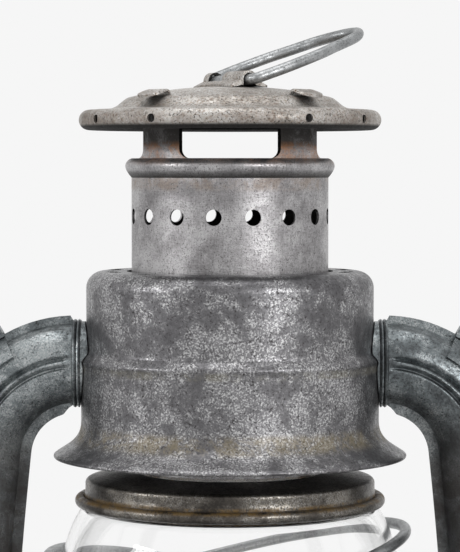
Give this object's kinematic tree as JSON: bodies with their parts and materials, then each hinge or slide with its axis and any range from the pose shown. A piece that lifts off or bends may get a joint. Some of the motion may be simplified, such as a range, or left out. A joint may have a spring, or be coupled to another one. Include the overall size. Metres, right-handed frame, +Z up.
{
  "type": "hurricane lantern",
  "caption": "Tubular hurricane lantern: wick burner on an oil fount, glass globe in wire guards, side air tubes, hinged bail, lifting hood with ring.",
  "frame": {"origin": "centre of the flat base plate, on the lantern's axis", "axes": "+Z up, +X to the side with the lift lever, -Y to the front"},
  "size_m": [0.1622, 0.1127, 0.2751],
  "materials": {
    "aged_steel": "aged tinned steel, mottled grey, satin",
    "chimney_steel": "aged tinned steel, smooth, with a faint purple tint",
    "tube_steel": "aged tinned steel, dark, bluish",
    "rusty_steel": "darkened steel with brown rust",
    "wire_steel": "drawn steel wire, dull grey",
    "brass": "tarnished brass",
    "clear_glass": "clear blown glass",
    "cotton": "woven cotton wick"
  },
  "bodies": {
    "frame": {"fount_bottom": "aged_steel", "fount_shell": "aged_steel", "air_dome": "aged_steel", "filler_neck": "aged_steel", "burner_collar": "brass", "burner_deck": "brass", "wick_tube": "brass", "air_chamber": "aged_steel", "chamber_floor": "aged_steel", "chamber_liner": "aged_steel", "lever_pin": "wire_steel", "side_tube_right_front": "tube_steel", "side_tube_right_back": "tube_steel", "tube_collar_right": "rusty_steel", "bail_ear_right": "tube_steel", "side_tube_left_front": "tube_steel", "side_tube_left_back": "tube_steel", "tube_collar_left": "rusty_steel", "bail_ear_left": "tube_steel", "guard_wire_upper": "wire_steel", "guard_wire_lower": "wire_steel"},
    "globe_carrier": {"globe_plate": "aged_steel", "burner_cone": "brass", "globe": "clear_glass"},
    "crown": {"globe_top_plate": "rusty_steel", "chimney": "chimney_steel", "hood": "aged_steel", "ring_strap": "aged_steel"},
    "bail": {"bail": "wire_steel"},
    "wick": {"wick": "cotton"},
    "filler_cap": {"filler_cap": "brass"},
    "hood_ring": {"hood_ring": "wire_steel"},
    "lift_lever": {"lift_lever": "wire_steel"},
    "wick_knob": {"wick_shaft": "brass", "wick_knob": "brass"}
  },
  "joints": [
    {"name": "globe_lift", "type": "slide", "parent": "frame", "child": "globe_carrier", "axis": [0, 0, 1], "range_m": [0, 0.006]},
    {"name": "crown_lift", "type": "slide", "parent": "globe_carrier", "child": "crown", "axis": [0, 0, 1], "range_m": [0, 0.006]},
    {"name": "lever_press", "type": "hinge", "parent": "frame", "child": "lift_lever", "pos_m": [0.0459, 0, 0.0554], "axis": [0, 1, 0], "range_deg": [0, 13]},
    {"name": "ring_swing", "type": "hinge", "parent": "crown", "child": "hood_ring", "pos_m": [0, 0, 0.26174], "axis": [0.4695, -0.8829, 0], "range_deg": [-19, 160]},
    {"name": "bail_swing", "type": "hinge", "parent": "frame", "child": "bail", "pos_m": [0, 0, 0.19758], "axis": [1, 0, 0], "range_deg": [0, 316]},
    {"name": "wick_turn", "type": "hinge", "parent": "frame", "child": "wick_knob", "pos_m": [-0.00322, -0.00322, 0.0542], "axis": [0.7071, -0.7071, 0], "range_deg": [-71, 89]},
    {"name": "wick_slide", "type": "slide", "parent": "frame", "child": "wick", "axis": [0, 0, 1], "range_m": [-0.004, 0.005]},
    {"name": "cap_lift", "type": "slide", "parent": "frame", "child": "filler_cap", "axis": [-0.3404, -0.3404, 0.8765], "range_m": [0, 0.015]}
  ],
  "couplings": [
    {"joint": "lever_press", "follows": "globe_lift", "rad_per_m": 37.35},
    {"joint": "wick_slide", "follows": "wick_turn", "m_per_rad": 0.0032}
  ]
}
